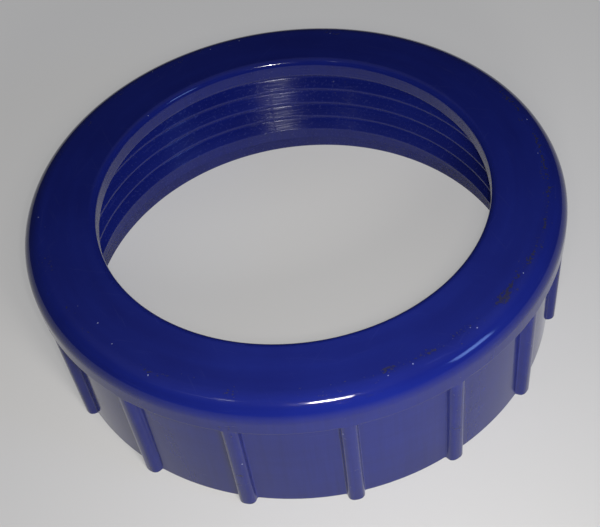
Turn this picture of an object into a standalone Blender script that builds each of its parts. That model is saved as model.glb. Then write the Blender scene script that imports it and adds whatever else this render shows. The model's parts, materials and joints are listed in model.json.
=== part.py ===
"""Threaded lock ring of a sand filter tank, moulded in one piece.

The ring screws down over the tank's neck and clamps the valve's flange with its inward lip.
Metres, +Z up. The origin is the centre of the open lower rim, which is the face the ring rests on.
Every outline is a list of (radius, height) points, and is turned about the Z axis.
"""

import math

import bmesh
import bpy

# Driving dimensions, in metres.
OUTER_R = 0.104
HEIGHT = 0.062
BORE_R = 0.0757
LIP_THICKNESS = 0.0085
NECK_R = 0.090
CROWN_RADIUS = 0.0078
SHOULDER_DEPTH = 0.0135
SKIRT_TOP_R = 0.1001
SKIRT_RIM_R = 0.0997

# Small radii on the turned body.
BORE_TOP_RADIUS = 0.0025
BORE_UNDER_RADIUS = 0.001
SHOULDER_EDGE_RADIUS = 0.0012
SHOULDER_FILLET = 0.002
CHAMBER_FILLET = 0.002

# Grip ribs, down the outside of the skirt.
RIB_COUNT = 16
RIB_HALF_WIDTH = 0.0032
RIB_RIM_PROUD = 0.0032
RIB_TOP_PROUD = 0.0037
RIB_ROUNDNESS = 2.6
RIB_ROOT = 0.004
RIB_OVERLAP = 0.0015

# Right-hand internal thread. The ridge's centre is at THREAD_PHASE_Z where its angle is THREAD_PHASE.
THREAD_PITCH = 0.008
THREAD_CREST_R = 0.0858
THREAD_CREST_WIDTH = 0.0009
THREAD_FLANK_RISE = 0.0028
THREAD_PHASE = math.radians(86.15)
THREAD_PHASE_Z = 0.0386
THREAD_TOP_TURNS = 1.25
THREAD_RIM_TURNS = 3.49
THREAD_RUN_OUT_TURNS = 0.08
THREAD_ROOT = 0.0015

# Smoothness of the solids.
AROUND = 80
RIB_POINTS = 7
SMOOTH_BELOW = math.radians(35)

PLASTIC_COLOUR = (0.008, 0.013, 0.135, 1.0)
PLASTIC_ROUGHNESS = 0.22


def clear_scene():
    for obj in list(bpy.data.objects):
        bpy.data.objects.remove(obj, do_unlink=True)


def moulded_plastic():
    material = bpy.data.materials.new("moulded_blue_plastic")
    material.use_nodes = True
    shader = material.node_tree.nodes["Principled BSDF"]
    shader.inputs["Base Color"].default_value = PLASTIC_COLOUR
    shader.inputs["Roughness"].default_value = PLASTIC_ROUGHNESS
    shader.inputs["Metallic"].default_value = 0.0
    return material


def arc(centre_r, centre_z, radius, start_deg, end_deg, steps):
    """Points on a circle in the (radius, height) plane, from one angle to the other."""
    points = []
    for i in range(steps + 1):
        angle = math.radians(start_deg + (end_deg - start_deg) * i / steps)
        points.append((centre_r + radius * math.cos(angle), centre_z + radius * math.sin(angle)))
    return points


def body_outline():
    """The section of the turned body, from its outer rim corner up the outside and down the inside."""
    shoulder_z = HEIGHT - SHOULDER_DEPTH
    lip_z = HEIGHT - LIP_THICKNESS
    outline = [(SKIRT_RIM_R, 0.0)]
    outline += arc(
        SKIRT_TOP_R + SHOULDER_FILLET, shoulder_z - SHOULDER_FILLET, SHOULDER_FILLET, 180, 90, 2
    )
    outline += arc(
        OUTER_R - SHOULDER_EDGE_RADIUS, shoulder_z + SHOULDER_EDGE_RADIUS, SHOULDER_EDGE_RADIUS, -90, 0, 2
    )
    outline += arc(OUTER_R - CROWN_RADIUS, HEIGHT - CROWN_RADIUS, CROWN_RADIUS, 0, 90, 6)
    outline += arc(BORE_R + BORE_TOP_RADIUS, HEIGHT - BORE_TOP_RADIUS, BORE_TOP_RADIUS, 90, 180, 3)
    outline += arc(BORE_R + BORE_UNDER_RADIUS, lip_z + BORE_UNDER_RADIUS, BORE_UNDER_RADIUS, 180, 270, 2)
    outline += arc(NECK_R - CHAMBER_FILLET, lip_z - CHAMBER_FILLET, CHAMBER_FILLET, 90, 0, 2)
    outline.append((NECK_R, 0.0))
    return outline


def new_object(name, mesh, material=None):
    obj = bpy.data.objects.new(name, mesh)
    bpy.context.scene.collection.objects.link(obj)
    if material:
        mesh.materials.append(material)
    return obj


def mesh_from(bm, name):
    """Turns the faces outward and makes the mesh."""
    bmesh.ops.recalc_face_normals(bm, faces=bm.faces)
    mesh = bpy.data.meshes.new(name)
    bm.to_mesh(mesh)
    bm.free()
    return mesh


def turned_body(name, outline, material):
    """The outline, closed and spun once round Z."""
    bm = bmesh.new()
    verts = [bm.verts.new((r, 0.0, z)) for r, z in outline]
    edges = [bm.edges.new((verts[i - 1], verts[i])) for i in range(len(verts))]
    bmesh.ops.spin(
        bm,
        geom=verts + edges,
        axis=(0, 0, 1),
        cent=(0, 0, 0),
        angle=math.tau,
        steps=AROUND,
        use_merge=True,
    )
    return new_object(name, mesh_from(bm, name), material)


def loft(bm, rings):
    """Joins rings of points into one closed solid with flat ends."""
    made = [[bm.verts.new(point) for point in ring] for ring in rings]
    size = len(made[0])
    for low, high in zip(made, made[1:]):
        for i in range(size):
            j = (i + 1) % size
            bm.faces.new((low[i], low[j], high[j], high[i]))
    bm.faces.new(made[0])
    bm.faces.new(reversed(made[-1]))


def rib_section(angle, foot_r, proud, z):
    """One rib's section at a height: a flattened half round on the skirt, with a root inside the wall."""
    local = [(foot_r - RIB_ROOT, RIB_HALF_WIDTH)]
    for i in range(RIB_POINTS):
        t = math.pi * i / (RIB_POINTS - 1)
        across = math.copysign(abs(math.cos(t)) ** (2 / RIB_ROUNDNESS), math.cos(t))
        out = math.sin(t) ** (2 / RIB_ROUNDNESS)
        local.append((foot_r + proud * out, RIB_HALF_WIDTH * across))
    local.append((foot_r - RIB_ROOT, -RIB_HALF_WIDTH))
    c, s = math.cos(angle), math.sin(angle)
    return [(r * c - t * s, r * s + t * c, z) for r, t in local]


def grip_ribs(name):
    """Every rib, from the rim up into the shoulder."""
    top_z = HEIGHT - SHOULDER_DEPTH + RIB_OVERLAP
    bm = bmesh.new()
    for k in range(RIB_COUNT):
        angle = math.tau * k / RIB_COUNT
        rim_end = rib_section(angle, SKIRT_RIM_R, RIB_RIM_PROUD, 0.0)
        shoulder_end = rib_section(angle, SKIRT_TOP_R, RIB_TOP_PROUD, top_z)
        loft(bm, [rim_end, shoulder_end])
    return new_object(name, mesh_from(bm, name))


def thread_section(turns):
    """The ridge's section at a number of turns from its phase point, sunk into the wall at both ends."""
    from_end = min(THREAD_TOP_TURNS - turns, turns + THREAD_RIM_TURNS)
    grown = min(1.0, from_end / THREAD_RUN_OUT_TURNS)
    crest_r = NECK_R + THREAD_ROOT / 2 + (THREAD_CREST_R - NECK_R - THREAD_ROOT / 2) * grown
    half_crest = THREAD_CREST_WIDTH / 2
    slope = THREAD_FLANK_RISE / (NECK_R - THREAD_CREST_R)
    half_root = half_crest + slope * (NECK_R + THREAD_ROOT - crest_r)
    angle = THREAD_PHASE + math.tau * turns
    z = THREAD_PHASE_Z + THREAD_PITCH * turns
    c, s = math.cos(angle), math.sin(angle)
    local = (
        (crest_r, -half_crest),
        (NECK_R + THREAD_ROOT, -half_root),
        (NECK_R + THREAD_ROOT, half_root),
        (crest_r, half_crest),
    )
    return [(r * c, r * s, z + dz) for r, dz in local]


def thread_ridge(name):
    steps = round((THREAD_TOP_TURNS + THREAD_RIM_TURNS) * AROUND)
    rings = []
    for i in range(steps + 1):
        turns = -THREAD_RIM_TURNS + (THREAD_TOP_TURNS + THREAD_RIM_TURNS) * i / steps
        rings.append(thread_section(turns))
    bm = bmesh.new()
    loft(bm, rings)
    return new_object(name, mesh_from(bm, name))


def join(target, helper):
    """Fuses a helper's shape into the target, and keeps the helper out of the model."""
    helper.hide_render = True
    helper.display_type = "WIRE"
    union = target.modifiers.new("join_" + helper.name, "BOOLEAN")
    union.operation = "UNION"
    union.solver = "EXACT"
    union.object = helper


def main():
    clear_scene()
    lock_ring = turned_body("lock_ring", body_outline(), moulded_plastic())
    lock_ring.data.shade_smooth()
    lock_ring.data.set_sharp_from_angle(angle=SMOOTH_BELOW)
    join(lock_ring, grip_ribs("grip_ribs"))
    join(lock_ring, thread_ridge("thread_ridge"))


main()
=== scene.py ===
"""Looks of a threaded lock ring, injection moulded in one piece of glossy blue polypropylene.

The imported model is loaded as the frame. One finely modelled ring replaces its faceted solid, with the
same dimensions. Metres, +Z up, the origin at the centre of the open lower rim.
"""

import json
import math

import bpy
from mathutils import Matrix, Vector, noise


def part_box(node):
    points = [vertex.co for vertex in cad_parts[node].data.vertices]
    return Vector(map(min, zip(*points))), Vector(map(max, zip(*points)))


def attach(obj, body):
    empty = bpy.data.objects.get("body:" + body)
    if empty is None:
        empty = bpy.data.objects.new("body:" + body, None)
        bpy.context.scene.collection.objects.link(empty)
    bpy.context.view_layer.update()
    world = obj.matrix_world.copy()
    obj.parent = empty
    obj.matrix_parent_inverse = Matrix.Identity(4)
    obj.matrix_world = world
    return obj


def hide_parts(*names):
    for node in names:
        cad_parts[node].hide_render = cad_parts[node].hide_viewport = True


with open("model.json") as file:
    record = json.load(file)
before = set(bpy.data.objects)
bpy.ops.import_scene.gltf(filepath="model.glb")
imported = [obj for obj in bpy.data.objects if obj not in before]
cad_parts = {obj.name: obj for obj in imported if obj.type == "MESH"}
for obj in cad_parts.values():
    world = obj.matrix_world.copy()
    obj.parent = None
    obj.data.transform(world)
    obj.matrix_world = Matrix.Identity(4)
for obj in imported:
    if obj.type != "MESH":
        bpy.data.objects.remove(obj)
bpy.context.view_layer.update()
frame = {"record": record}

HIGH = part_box("lock_ring")[1]
FACES = {mount["name"]: Vector(mount["pos_m"]) for mount in frame["record"]["mounts"]}

# The moulding's outline.
OUTER_R = HIGH.x
HEIGHT = HIGH.z
LIP_Z = FACES["clamp_face"].z
SHOULDER_Z = HEIGHT - 0.0135
BORE_R = 0.0757
NECK_R = 0.090
SKIRT_TOP_R = 0.1001
SKIRT_RIM_R = 0.0997

# Radii of the outline's corners.
CROWN_RADIUS = 0.0078
BORE_TOP_RADIUS = 0.0025
BORE_UNDER_RADIUS = 0.001
SHOULDER_EDGE_RADIUS = 0.0006
SHOULDER_FILLET = 0.0015
CHAMBER_FILLET = 0.002
RIM_OUTER_RADIUS = 0.0005
RIM_INNER_RADIUS = 0.0008

# The shoulder's two corners share this much of the step between the skirt and the crown, at most.
CORNER_ROOM = 0.92

# A row this close to each arc keeps the shading of the flat beside it flat.
ARC_GUARD = 0.0003

# Grip ribs. The section is a flattened half round that meets the skirt in a small fillet. The half
# round's points start RIB_CREST_START, in radians, in from each of its ends.
RIB_COUNT = 16
RIB_HALF_WIDTH = 0.0032
RIB_RIM_PROUD = 0.0032
RIB_TOP_PROUD = 0.0037
RIB_ROUNDNESS = 2.6
RIB_FILLET = 0.0006
RIB_FILLET_STEPS = 3
RIB_CREST_STEPS = 12
RIB_CREST_START = 0.13
COLUMNS_BETWEEN_RIBS = 10

# Right-hand internal thread. The ridge's centre is at THREAD_PHASE_Z where its angle is THREAD_PHASE.
# Its rows keep a gap to the plain wall at each end. The range is every turn of the helix that can pass
# through the wall, counted from the phase point.
THREAD_PITCH = 0.008
THREAD_CREST_R = 0.0858
THREAD_CREST_HALF = 0.00045
THREAD_FLANK_RISE = 0.0028
THREAD_CREST_RADIUS = 0.0002
THREAD_ROOT_RADIUS = 0.0007
THREAD_PHASE = math.radians(86.15)
THREAD_PHASE_Z = 0.0386
THREAD_TOP_TURNS = 1.25
THREAD_RIM_TURNS = 3.49
THREAD_RUN_OUT_TURNS = 0.08
THREAD_ROOT_STEPS = 3
THREAD_CREST_STEPS = 2
THREAD_LOWEST_ROW_Z = 0.006
THREAD_ROW_GAP = 0.00012
TURNS_DOWN_THE_WALL = range(3, -7, -1)

# A moulding is never quite true: its walls wander by this much, over about this distance.
WAVINESS = 0.00005
WAVE_LENGTH = 0.045

# The finish is laid out round a circle of this radius, so that it meets itself with no seam.
LAID_RADIUS = 0.1

# The mould's turned core: how plainly its marks show on the lip's face, and how much rougher it is.
LIP_MARKS = 0.6
CORE_COARSENESS = 0.13

# Knocks: the side that has had most of them, how far the worn band reaches from its middle, and the
# share of the wear that the far side and the ribs have. A rib is worn above this share of its height.
WORN_SIDE = math.radians(-48)
WORN_WIDTH = 0.0022
WORN_ALL_ROUND = 0.3
RIB_WEAR = 0.25
RIB_WORN_ABOVE = 0.8

# Roughness of the plastic's gloss in its cleanest and its dustiest patches, and its refractive index.
CLEAN_ROUGHNESS = 0.075
DUSTY_ROUGHNESS = 0.13
POLYPROPYLENE_IOR = 1.46

# The board under the ring is a hair below the rim, so that the two faces don't coincide.
FLOOR_HALF = 4.0
FLOOR_Z = -0.0001

# Camera: distance from the middle of the top face, the way it looks, and the lens. The shift is a share
# of the frame's width.
CAMERA_DISTANCE = 0.42345
CAMERA_AZIMUTH = math.radians(-4.09)
CAMERA_ELEVATION = math.radians(43.56)
CAMERA_ROLL = math.radians(-7.15)
CAMERA_AIM = (0.0078, -0.0282)
CAMERA_LENS = 66.4
CAMERA_SHIFT = (-1 / 30, -1 / 20)


# ---------------------------------------------------------------- the moulding


def arc_at(before, corner, after, radius, steps):
    """Points of the arc that rounds one corner of an outline, and its run-in and run-out points."""
    back = (before - corner).normalized()
    ahead = (after - corner).normalized()
    half_angle = back.angle(ahead) / 2
    reach = radius / math.tan(half_angle)
    centre = corner + (back + ahead).normalized() * (radius / math.sin(half_angle))
    start = corner + back * reach - centre
    end = corner + ahead * reach - centre
    turn = math.pi - 2 * half_angle
    points = []
    for i in range(steps + 1):
        t = i / steps
        from_centre = (start * math.sin((1 - t) * turn) + end * math.sin(t * turn)) / math.sin(turn)
        points.append(centre + from_centre)
    return points


def run_between(start, end, count):
    """Points on the straight run between two arcs: one close to each arc, and the rest spread evenly."""
    length = (end - start).length
    near = min(ARC_GUARD, length * 0.25)
    points = [start.lerp(end, near / length)]
    for i in range(1, count):
        points.append(start.lerp(end, (near + (length - 2 * near) * i / count) / length))
    points.append(start.lerp(end, 1 - near / length))
    return points


def outer_section(foot, crest):
    """(radius, height) points from the rim's inner edge, round the outside, to the chamber's fillet.

    foot and crest are how far the surface stands proud of the skirt at the rim and at the shoulder.
    Each corner is its place, its radius, its arc's steps and the steps of the run that follows it."""
    rim_r = SKIRT_RIM_R + foot
    neck_r = SKIRT_TOP_R + crest
    step = OUTER_R - neck_r
    fit = min(1.0, CORNER_ROOM * step / (SHOULDER_FILLET + SHOULDER_EDGE_RADIUS))
    corners = (
        (NECK_R, 0.0, RIM_INNER_RADIUS, 5, 3),
        (rim_r, 0.0, RIM_OUTER_RADIUS, 5, 7),
        (neck_r, SHOULDER_Z, SHOULDER_FILLET * fit, 6, 1),
        (OUTER_R, SHOULDER_Z, SHOULDER_EDGE_RADIUS * fit, 6, 2),
        (OUTER_R, HEIGHT, CROWN_RADIUS, 16, 7),
        (BORE_R, HEIGHT, BORE_TOP_RADIUS, 8, 3),
        (BORE_R, LIP_Z, BORE_UNDER_RADIUS, 5, 3),
        (NECK_R, LIP_Z, CHAMBER_FILLET, 5, 0),
    )
    places = [Vector((r, z)) for r, z, _, _, _ in corners]
    section = []
    run_count = 0
    for i, (_, _, radius, steps, next_run) in enumerate(corners):
        arc = arc_at(places[i - 1], places[i], places[(i + 1) % len(places)], radius, steps)
        if section:
            section += run_between(section[-1], arc[0], run_count)
        section += arc
        run_count = next_run
    return section


def ridge_rows():
    """(height from the ridge's centre, height above the wall) of one pitch of the thread's points."""
    depth = NECK_R - THREAD_CREST_R
    groove = Vector((THREAD_PITCH / 2, 0))
    root = Vector((THREAD_CREST_HALF + THREAD_FLANK_RISE, 0))
    crest = Vector((THREAD_CREST_HALF, depth))
    middle = Vector((0, depth))
    root_arc = arc_at(groove, root, crest, THREAD_ROOT_RADIUS, THREAD_ROOT_STEPS)
    crest_arc = arc_at(root, crest, middle, THREAD_CREST_RADIUS, THREAD_CREST_STEPS)
    flank = run_between(root_arc[-1], crest_arc[0], 1)
    upper = [groove] + root_arc + flank + crest_arc + [middle]
    lower = [Vector((-u, h)) for u, h in reversed(upper[1:-1])]
    return upper + lower


def grown(turns):
    """How much of the ridge's height is there, at a number of turns from the phase point."""
    from_end = min(THREAD_TOP_TURNS - turns, turns + THREAD_RIM_TURNS)
    t = max(0.0, min(1.0, from_end / THREAD_RUN_OUT_TURNS))
    return t * t * (3 - 2 * t)


def thread_section(angle, rows, top_z):
    """(row number, radius, height) down the threaded wall. The rows climb with the helix."""
    section = []
    turns_at_angle = (angle - THREAD_PHASE) / math.tau
    for turn in TURNS_DOWN_THE_WALL:
        turns = turns_at_angle + turn
        for i, (across, proud) in enumerate(rows):
            z = THREAD_PHASE_Z + THREAD_PITCH * turns + across
            if THREAD_LOWEST_ROW_Z + THREAD_ROW_GAP < z < top_z - THREAD_ROW_GAP:
                section.append((-turn * len(rows) + i, NECK_R - proud * grown(turns), z))
    return section


def rib_stations():
    """(distance across, height above the skirt as a fraction, fillet height) over one rib's width."""
    edge = RIB_HALF_WIDTH + RIB_FILLET
    fillet = []
    for i in range(RIB_FILLET_STEPS):
        angle = math.pi / 2 * i / RIB_FILLET_STEPS
        fillet.append((-edge + RIB_FILLET * math.sin(angle), 0.0, RIB_FILLET * (1 - math.cos(angle))))
    crest = []
    for i in range(RIB_CREST_STEPS + 1):
        t = RIB_CREST_START + (math.pi - 2 * RIB_CREST_START) * i / RIB_CREST_STEPS
        across = -math.copysign(abs(math.cos(t)) ** (2 / RIB_ROUNDNESS), math.cos(t))
        crest.append((RIB_HALF_WIDTH * across, math.sin(t) ** (2 / RIB_ROUNDNESS), 0.0))
    return fillet + crest + [(-across, proud, fill) for across, proud, fill in reversed(fillet)]


def stations():
    """(angle, height above the skirt at the rim, and at the shoulder) of each column, once round."""
    rib = rib_stations()
    edge_angle = rib[-1][0] / SKIRT_TOP_R
    pitch_angle = math.tau / RIB_COUNT
    gap = pitch_angle - 2 * edge_angle
    columns = []
    for k in range(RIB_COUNT):
        middle = pitch_angle * k
        for across, proud, fill in rib:
            foot = proud * RIB_RIM_PROUD + fill
            crest = proud * RIB_TOP_PROUD + fill
            columns.append((middle + across / SKIRT_TOP_R, foot, crest))
        for i in range(1, COLUMNS_BETWEEN_RIBS):
            columns.append((middle + edge_angle + gap * i / COLUMNS_BETWEEN_RIBS, 0.0, 0.0))
    return columns


def wavy(point):
    """Moves a point of the surface inward by the moulding's waviness."""
    wander = 0.5 + 0.5 * noise.noise(point / WAVE_LENGTH)
    inward = Vector((-point.x, -point.y, 0)).normalized()
    return point + inward * (WAVINESS * wander)


def stitch(left, right):
    """Faces between two neighbouring columns of (row, point).

    A row that only one of the columns has ends in a triangle."""
    left_rows = {row for row, _ in left}
    right_rows = {row for row, _ in right}
    faces = []
    i = j = 0
    while i < len(left) - 1 or j < len(right) - 1:
        low_left, low_right = left[i][1], right[j][1]
        if i < len(left) - 1 and left[i + 1][0] not in right_rows:
            i += 1
            faces.append((low_left, low_right, left[i][1]))
        elif j < len(right) - 1 and right[j + 1][0] not in left_rows:
            j += 1
            faces.append((low_left, low_right, right[j][1]))
        else:
            i += 1
            j += 1
            faces.append((low_left, low_right, right[j][1], left[i][1]))
    return faces


def one_turn_on(column, rows_per_turn):
    """The first column as its left neighbour sees it, where each thread row has climbed one pitch."""
    return [(row + rows_per_turn if isinstance(row, int) else row, point) for row, point in column]


def turned_marks(r, z):
    """How plainly the core's lathe marks show: fully on the threaded wall, less on the lip's face."""
    if r < BORE_R + BORE_UNDER_RADIUS and LIP_Z < z < HEIGHT - BORE_TOP_RADIUS:
        return LIP_MARKS
    return 1.0 if r < NECK_R + WAVINESS and z < LIP_Z and z > 0 else 0.0


def knocks(angle, r, z, proud):
    """How much knocking about a point has had.

    Most is on the edge where the flat top starts to turn down, on the side it was rolled on. Some is
    on the ribs."""
    rolled_on = max(0.0, math.cos(angle - WORN_SIDE)) ** 2
    if z > HEIGHT - CROWN_RADIUS:
        from_edge = (r - (OUTER_R - CROWN_RADIUS)) / WORN_WIDTH
        return math.exp(-from_edge * from_edge) * (WORN_ALL_ROUND + (1 - WORN_ALL_ROUND) * rolled_on)
    return RIB_WEAR if proud > RIB_WORN_ABOVE and r > SKIRT_TOP_R else 0.0


def wall_round(angle, foot, crest, thread_rows):
    """(row, radius, height) once round the section at one angle: up the outside and down the inside."""
    section = outer_section(foot, crest)
    wall = [(f"outer {i}", r, z) for i, (r, z) in enumerate(section)]
    wall += thread_section(angle, thread_rows, section[-1].y)
    wall.append(("lead-in", NECK_R, THREAD_LOWEST_ROW_Z))
    return wall


def moulding_mesh():
    """The whole ring as one closed mesh: columns round the axis, rows round the section.

    Three attributes lay out its finish: where each point is round the axis and along the section, in
    metres, how plainly the core's lathe marks show, and how knocked about it is."""
    thread_rows = ridge_rows()
    points = []
    laid = []
    turned = []
    knocked = []
    columns = []
    for angle, foot, crest in stations():
        wall = wall_round(angle, foot, crest, thread_rows)
        c, s = math.cos(angle), math.sin(angle)
        column = []
        along = 0.0
        before = Vector(wall[0][1:])
        for row, r, z in wall:
            column.append((row, len(points)))
            points.append(wavy(Vector((r * c, r * s, z))))
            # Thread rows count their drop only, so that the marks stay level where the ridge climbs.
            along += (Vector((r, z)) - before).length if isinstance(row, str) else before.y - z
            before = Vector((r, z))
            laid += (LAID_RADIUS * c, LAID_RADIUS * s, along)
            turned.append(turned_marks(r, z))
            knocked.append(knocks(angle, r, z, crest / RIB_TOP_PROUD))
        column.append(("closing", column[0][1]))
        columns.append(column)
    columns.append(one_turn_on(columns[0], len(thread_rows)))
    faces = []
    for left, right in zip(columns, columns[1:]):
        faces += stitch(left, right)
    mesh = bpy.data.meshes.new("lock_ring_moulding")
    mesh.from_pydata(points, [], faces)
    mesh.shade_smooth()
    core_side = [all(turned[i] > 0 for i in face) for face in faces]
    mesh.polygons.foreach_set("material_index", [int(inside) for inside in core_side])
    mesh.attributes.new("laid", "FLOAT_VECTOR", "POINT").data.foreach_set("vector", laid)
    mesh.attributes.new("turned", "FLOAT", "POINT").data.foreach_set("value", turned)
    mesh.attributes.new("knocked", "FLOAT", "POINT").data.foreach_set("value", knocked)
    return mesh


def lock_ring_moulding(polished, turned):
    """The ring, polished outside and turned inside, in place of the frame's faceted solid."""
    mesh = moulding_mesh()
    mesh.materials.append(polished)
    mesh.materials.append(turned)
    moulding = bpy.data.objects.new("lock_ring_moulding", mesh)
    bpy.context.scene.collection.objects.link(moulding)
    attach(moulding, "root")
    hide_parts("lock_ring")


# ---------------------------------------------------------------- finishes


def linear(hex_colour):
    """An sRGB hex colour as linear RGBA."""
    channels = []
    for i in (1, 3, 5):
        value = int(hex_colour[i : i + 2], 16) / 255
        channels.append(value / 12.92 if value <= 0.04045 else ((value + 0.055) / 1.055) ** 2.4)
    return (*channels, 1.0)


def per_mm(size_mm):
    """The scale that gives a pattern this feature size."""
    return 1000 / size_mm


def add(tree, kind, links=None, **settings):
    """Adds a node, sets its properties, and sets or links its sockets."""
    made = tree.nodes.new(kind)
    for name, value in settings.items():
        setattr(made, name, value)
    for key, value in (links or {}).items():
        if isinstance(value, bpy.types.NodeSocket):
            tree.links.new(value, made.inputs[key])
        else:
            made.inputs[key].default_value = value
    return made


def new_material(name):
    """A material with nothing but its output and shader."""
    material = bpy.data.materials.new(name)
    material.use_nodes = True
    return material, material.node_tree, material.node_tree.nodes["Principled BSDF"]


def drawn_out_noise(tree, place, sizes_mm, detail):
    """Noise whose marks have these sizes along the three ways of place."""
    scaled = add(
        tree,
        "ShaderNodeVectorMath",
        {0: place, 1: [per_mm(size) for size in sizes_mm]},
        operation="MULTIPLY",
    )
    return add(tree, "ShaderNodeTexNoise", {"Vector": scaled.outputs[0], "Scale": 1.0, "Detail": detail})


def pigment_clouds(tree, place, laid):
    """Ultramarine pigment that mixed a little unevenly in the melt: clouds 28 mm across, and faint flow
    lines round the ring, 60 mm long and 5 mm wide."""
    clouds = add(tree, "ShaderNodeTexNoise", {"Vector": place, "Scale": per_mm(28), "Detail": 3.0})
    flow = drawn_out_noise(tree, laid, (60, 60, 5), 4.0)
    both = add(tree, "ShaderNodeMath", {0: clouds.outputs[0], 1: flow.outputs[0]}, operation="ADD")
    spread = add(
        tree,
        "ShaderNodeMapRange",
        {"Value": both.outputs[0], "From Min": 0.7, "From Max": 1.3},
    )
    return add(
        tree,
        "ShaderNodeMix",
        {"Factor": spread.outputs[0], 6: linear("#111a64"), 7: linear("#15206f")},
        data_type="RGBA",
    ).outputs[2]


def ground_in_dirt(tree, place, laid, knocked):
    """Dark dirt rubbed into the knocks: broken streaks 10 mm long and 2.5 mm wide, crumbled at 1 mm."""
    streaks = drawn_out_noise(tree, laid, (10, 10, 2.5), 2.0)
    crumbs = add(tree, "ShaderNodeTexNoise", {"Vector": place, "Scale": per_mm(1.0), "Detail": 3.0})
    crumbled = add(
        tree,
        "ShaderNodeMath",
        {0: crumbs.outputs[0], 1: 0.9, 2: streaks.outputs[0]},
        operation="MULTIPLY_ADD",
    )
    worn = add(
        tree,
        "ShaderNodeMath",
        {0: knocked, 1: 0.28, 2: crumbled.outputs[0]},
        operation="MULTIPLY_ADD",
    )
    patches = add(
        tree,
        "ShaderNodeMapRange",
        {"Value": worn.outputs[0], "From Min": 1.23, "From Max": 1.34},
        interpolation_type="SMOOTHSTEP",
    )
    reach = add(tree, "ShaderNodeMapRange", {"Value": knocked, "From Min": 0.02, "From Max": 0.2})
    dirt = add(tree, "ShaderNodeMath", {0: patches.outputs[0], 1: reach.outputs[0]}, operation="MULTIPLY")
    return dirt.outputs[0]


def pale_nicks(tree, place, knocked):
    """Stress-whitened nicks, 0.5 mm across. One 2.2 mm cell in 200 holds one, and more of them do where
    it is knocked."""
    cells = add(tree, "ShaderNodeTexVoronoi", {"Vector": place, "Scale": per_mm(2.2)})
    pick = add(tree, "ShaderNodeSeparateColor", {"Color": cells.outputs["Color"]})
    chance = add(
        tree,
        "ShaderNodeMath",
        {0: knocked, 1: 0.2, 2: pick.outputs[0]},
        operation="MULTIPLY_ADD",
    )
    chosen = add(tree, "ShaderNodeMath", {0: chance.outputs[0], 1: 0.995}, operation="GREATER_THAN")
    from_centre = cells.outputs["Distance"]
    spot = add(
        tree,
        "ShaderNodeMapRange",
        {"Value": from_centre, "From Min": 0.07, "From Max": 0.13, "To Min": 1.0, "To Max": 0.0},
    )
    nicks = add(tree, "ShaderNodeMath", {0: chosen.outputs[0], 1: spot.outputs[0]}, operation="MULTIPLY")
    return nicks.outputs[0]


def fine_scratches(tree, place, laid):
    """Hairlines from handling: three ways across the flat top, and round the ring everywhere.

    Real ones are 0.1 mm wide: these are 0.4 mm, so that they show."""
    normal = add(tree, "ShaderNodeNewGeometry").outputs["Normal"]
    facing = add(tree, "ShaderNodeSeparateXYZ", {0: normal})
    on_top = add(
        tree,
        "ShaderNodeMapRange",
        {"Value": facing.outputs["Z"], "From Min": 0.7, "From Max": 0.98},
    )
    rubs = drawn_out_noise(tree, laid, (24, 24, 0.8), 1.0)
    thin = add(
        tree,
        "ShaderNodeMapRange",
        {"Value": rubs.outputs[0], "From Min": 0.70, "From Max": 0.76},
    )
    hairlines = thin.outputs[0]
    for way in (0.4, 1.3, 2.3):
        turned = add(tree, "ShaderNodeMapping", {"Vector": place, "Rotation": (0.0, 0.0, way)})
        lines = drawn_out_noise(tree, turned.outputs[0], (18, 0.8, 18), 1.0)
        thin = add(
            tree,
            "ShaderNodeMapRange",
            {"Value": lines.outputs[0], "From Min": 0.71, "From Max": 0.77},
        )
        seen = add(
            tree,
            "ShaderNodeMath",
            {0: thin.outputs[0], 1: on_top.outputs[0]},
            operation="MULTIPLY",
        )
        hairlines = add(
            tree, "ShaderNodeMath", {0: hairlines, 1: seen.outputs[0]}, operation="MAXIMUM"
        ).outputs[0]
    return hairlines


def lathe_marks(tree, laid, turned):
    """Rings that the lathe left on the mould's core. Real ones are 0.2 mm apart: these are 0.5 mm, so
    that they show."""
    rings = drawn_out_noise(tree, laid, (16, 16, 0.5), 2.0)
    return add(tree, "ShaderNodeMath", {0: rings.outputs[0], 1: turned}, operation="MULTIPLY").outputs[0]


def thread_dust(tree, place, turned):
    """Pale dust that settles in the thread and stays there, in grains drawn 0.5 mm across, so that they
    show."""
    grains = add(tree, "ShaderNodeTexNoise", {"Vector": place, "Scale": per_mm(1.0), "Detail": 2.0})
    grain = add(
        tree,
        "ShaderNodeMapRange",
        {"Value": grains.outputs[0], "From Min": 0.60, "From Max": 0.74},
    )
    return add(tree, "ShaderNodeMath", {0: grain.outputs[0], 1: turned}, operation="MULTIPLY").outputs[0]


def drag_lines(tree, laid):
    """Faint upright lines where the wall slid out of the mould: 1.5 mm apart, on upright walls only."""
    lines = drawn_out_noise(tree, laid, (1.5, 1.5, 35), 3.0)
    normal = add(tree, "ShaderNodeNewGeometry").outputs["Normal"]
    facing = add(tree, "ShaderNodeSeparateXYZ", {0: normal})
    tilt = add(tree, "ShaderNodeMath", {0: facing.outputs["Z"]}, operation="ABSOLUTE")
    upright = add(
        tree,
        "ShaderNodeMapRange",
        {"Value": tilt.outputs[0], "From Min": 0.5, "From Max": 0.05},
    )
    strong = add(
        tree,
        "ShaderNodeMapRange",
        {"Value": lines.outputs[0], "From Min": 0.42, "From Max": 0.68},
    )
    drag = add(tree, "ShaderNodeMath", {0: strong.outputs[0], 1: upright.outputs[0]}, operation="MULTIPLY")
    return drag.outputs[0]


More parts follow.
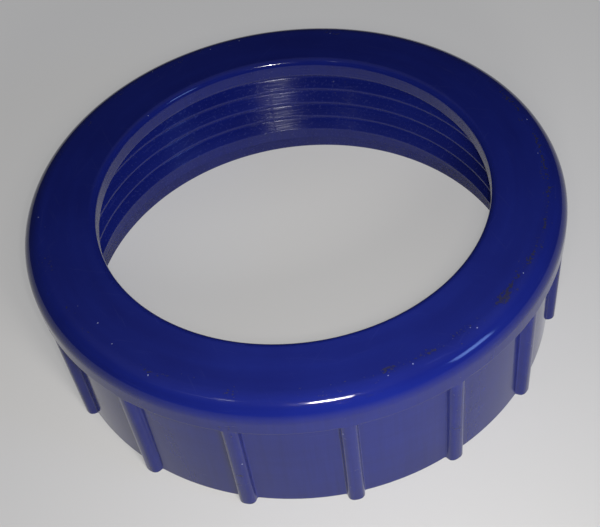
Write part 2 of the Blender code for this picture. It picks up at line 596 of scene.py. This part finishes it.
def blue_polypropylene(name, against_turned_core=False):
    """Polypropylene pigmented ultramarine, injection moulded: deep and glossy where the tool was polished
    steel, and handled long enough to be dusty, scratched and knocked. Against the turned core its gloss
    is drawn out across the lathe marks, so a lamp shows in it as an upright line."""
    material, tree, shader = new_material(name)
    place = add(tree, "ShaderNodeTexCoord").outputs["Object"]
    laid = add(tree, "ShaderNodeAttribute", attribute_name="laid").outputs["Vector"]
    turned = add(tree, "ShaderNodeAttribute", attribute_name="turned").outputs["Fac"]
    knocked = add(tree, "ShaderNodeAttribute", attribute_name="knocked").outputs["Fac"]
    dirt = ground_in_dirt(tree, place, laid, knocked)
    nicks = pale_nicks(tree, place, knocked)
    scratches = fine_scratches(tree, place, laid)
    rings = lathe_marks(tree, laid, turned)
    grit = thread_dust(tree, place, turned)

    colour = pigment_clouds(tree, place, laid)
    drag = drag_lines(tree, laid)
    for amount, mask, tint in (
        (0.30, drag, "#0d1556"),
        (0.40, grit, "#39407e"),
        (0.10, scratches, "#3a4283"),
        (0.8, dirt, "#26252a"),
        (0.9, nicks, "#9aa0c4"),
    ):
        share = add(tree, "ShaderNodeMath", {0: mask, 1: amount}, operation="MULTIPLY").outputs[0]
        colour = add(
            tree,
            "ShaderNodeMix",
            {"Factor": share, 6: colour, 7: linear(tint)},
            data_type="RGBA",
        ).outputs[2]
    tree.links.new(colour, shader.inputs["Base Color"])

    # Dust film, in soft patches about 12 mm across, dulls the gloss a little.
    film = add(
        tree,
        "ShaderNodeTexNoise",
        {"Vector": place, "Scale": per_mm(12), "Detail": 5.0, "Roughness": 0.65},
    )
    roughness = add(
        tree,
        "ShaderNodeMapRange",
        {
            "Value": film.outputs[0],
            "From Min": 0.35,
            "From Max": 0.7,
            "To Min": CLEAN_ROUGHNESS,
            "To Max": DUSTY_ROUGHNESS,
        },
    ).outputs[0]
    coarseness = CORE_COARSENESS if against_turned_core else 0.0
    for amount, mask in (
        (0.15, scratches),
        (0.45, dirt),
        (0.25, nicks),
        (0.25, grit),
        (coarseness, turned),
        (0.03, drag),
    ):
        roughness = add(
            tree,
            "ShaderNodeMath",
            {0: mask, 1: amount, 2: roughness},
            operation="MULTIPLY_ADD",
            use_clamp=True,
        ).outputs[0]
    tree.links.new(roughness, shader.inputs["Roughness"])

    # Heights in metres: the sinks and swells of a cooled wall, then each mark's own depth.
    swell = add(tree, "ShaderNodeTexNoise", {"Vector": place, "Scale": per_mm(3.5), "Detail": 1.0})
    height = add(
        tree, "ShaderNodeMath", {0: swell.outputs[0], 1: 0.000006}, operation="MULTIPLY"
    ).outputs[0]
    for depth, mask in ((-0.000004, scratches), (-0.00002, dirt), (-0.00004, nicks), (0.00017, rings)):
        height = add(
            tree, "ShaderNodeMath", {0: mask, 1: depth, 2: height}, operation="MULTIPLY_ADD"
        ).outputs[0]
    relief = add(tree, "ShaderNodeBump", {"Height": height, "Distance": 1.0})
    tree.links.new(relief.outputs[0], shader.inputs["Normal"])

    shader.inputs["IOR"].default_value = POLYPROPYLENE_IOR
    if against_turned_core:
        shader.inputs["Anisotropic"].default_value = 1.0
        shader.inputs["Anisotropic Rotation"].default_value = 0.25
        round_the_axis = add(tree, "ShaderNodeTangent", direction_type="RADIAL", axis="Z")
        tree.links.new(round_the_axis.outputs[0], shader.inputs["Tangent"])
    return material


def matt_painted_board():
    """Board painted with matt grey emulsion, which has no gloss. A faint glow stands for a bright room."""
    material, _, shader = new_material("matt_painted_board")
    shader.inputs["Base Color"].default_value = linear("#979694")
    shader.inputs["Roughness"].default_value = 0.9
    shader.inputs["Emission Color"].default_value = linear("#ffffff")
    shader.inputs["Emission Strength"].default_value = 0.32
    return material


# ---------------------------------------------------------------- studio


def floor(material):
    """The board that the ring stands on."""
    mesh = bpy.data.meshes.new("studio_floor")
    half = FLOOR_HALF
    corners = [(-half, -half), (half, -half), (half, half), (-half, half)]
    mesh.from_pydata([(x, y, FLOOR_Z) for x, y in corners], [], [(0, 1, 2, 3)])
    mesh.materials.append(material)
    board = bpy.data.objects.new("studio_floor", mesh)
    bpy.context.scene.collection.objects.link(board)


def soft_light(name, place, aim, size, power, colour, spread=180, glare=True):
    """A rectangular lamp, sized in metres, with its power in watts and its spread in degrees.

    Without glare it is cross-polarised: it lights a surface and isn't mirrored in it."""
    data = bpy.data.lights.new(name, "AREA")
    data.shape = "RECTANGLE"
    data.size, data.size_y = size
    data.energy = power
    data.color = linear(colour)[:3]
    data.spread = math.radians(spread)
    light = bpy.data.objects.new(name, data)
    light.location = place
    light.rotation_euler = (Vector(aim) - Vector(place)).to_track_quat("-Z", "Y").to_euler()
    light.visible_glossy = glare
    bpy.context.scene.collection.objects.link(light)


def studio_lights():
    """A front lamp for the body colour, and four small lamps for the glints."""
    soft_light(
        "front_lamp",
        place=(0.03, -0.27, 0.18),
        aim=(0.0, 0.0, 0.05),
        size=(0.06, 0.04),
        power=0.46,
        colour="#fffdfa",
        glare=False,
    )
    soft_light(
        "overhead_lamp",
        place=(-0.006, -0.277, 0.315),
        aim=(0.01, -0.09, 0.06),
        size=(0.075, 0.03),
        power=0.14,
        colour="#fffaf4",
        spread=90,
    )
    soft_light(
        "window_light",
        place=(0.63, -0.51, 0.43),
        aim=(0.04, -0.09, 0.06),
        size=(0.24, 0.18),
        power=0.13,
        colour="#8fb4ff",
        spread=60,
    )
    soft_light(
        "torch",
        place=(-0.012, -0.3, 0.345),
        aim=(0.0, 0.0, 0.04),
        size=(0.008, 0.008),
        power=0.28,
        colour="#ffffff",
    )
    soft_light(
        "side_lamp",
        place=(-0.23, -0.21, 0.51),
        aim=(-0.04, -0.09, 0.06),
        size=(0.04, 0.04),
        power=0.02,
        colour="#ffffff",
    )


def dim_room(walls, ceiling):
    """A room with dark walls and a paler ceiling, which the flat top mirrors."""
    world = bpy.data.worlds.new("dim_room")
    world.use_nodes = True
    tree = world.node_tree
    way = add(tree, "ShaderNodeTexCoord").outputs["Generated"]
    up = add(tree, "ShaderNodeSeparateXYZ", {0: way}).outputs["Z"]
    share = add(
        tree,
        "ShaderNodeMapRange",
        {"Value": up, "From Min": math.sin(math.radians(40)), "From Max": math.sin(math.radians(62))},
        interpolation_type="SMOOTHSTEP",
    ).outputs[0]
    colour = add(
        tree,
        "ShaderNodeMix",
        {"Factor": share, 6: (*walls, 1.0), 7: (*ceiling, 1.0)},
        data_type="RGBA",
    )
    tree.links.new(colour.outputs[2], tree.nodes["Background"].inputs["Color"])
    bpy.context.scene.world = world


def camera_over_the_near_side():
    """Looks down on the ring from about two diameters away, turned a little on its own axis."""
    turn = Matrix.Rotation(CAMERA_AZIMUTH, 3, "Z")
    middle = Vector((0, 0, HEIGHT))
    reach = Vector((0, -math.cos(CAMERA_ELEVATION), math.sin(CAMERA_ELEVATION))) * CAMERA_DISTANCE
    place = middle + turn @ reach
    aim = middle + turn @ Vector((*CAMERA_AIM, 0))
    ahead = (aim - place).normalized()
    level = ahead.cross(Vector((0, 0, 1))).normalized()
    upright = level.cross(ahead)
    c, s = math.cos(CAMERA_ROLL), math.sin(CAMERA_ROLL)
    right, up = level * c + upright * s, upright * c - level * s
    data = bpy.data.cameras.new("studio_camera")
    data.lens = CAMERA_LENS
    data.shift_x, data.shift_y = CAMERA_SHIFT
    data.clip_start = 0.01
    camera = bpy.data.objects.new("studio_camera", data)
    camera.matrix_world = Matrix.Translation(place) @ Matrix((right, up, -ahead)).transposed().to_4x4()
    bpy.context.scene.collection.objects.link(camera)
    bpy.context.scene.camera = camera


def main():
    bpy.context.scene.view_settings.view_transform = "Standard"
    camera_over_the_near_side()
    polished = blue_polypropylene("moulded_blue_polypropylene")
    turned = blue_polypropylene("moulded_blue_polypropylene_turned", against_turned_core=True)
    lock_ring_moulding(polished, turned)
    floor(matt_painted_board())
    studio_lights()
    dim_room(walls=(0.03, 0.03, 0.035), ceiling=(0.15, 0.15, 0.16))


main()
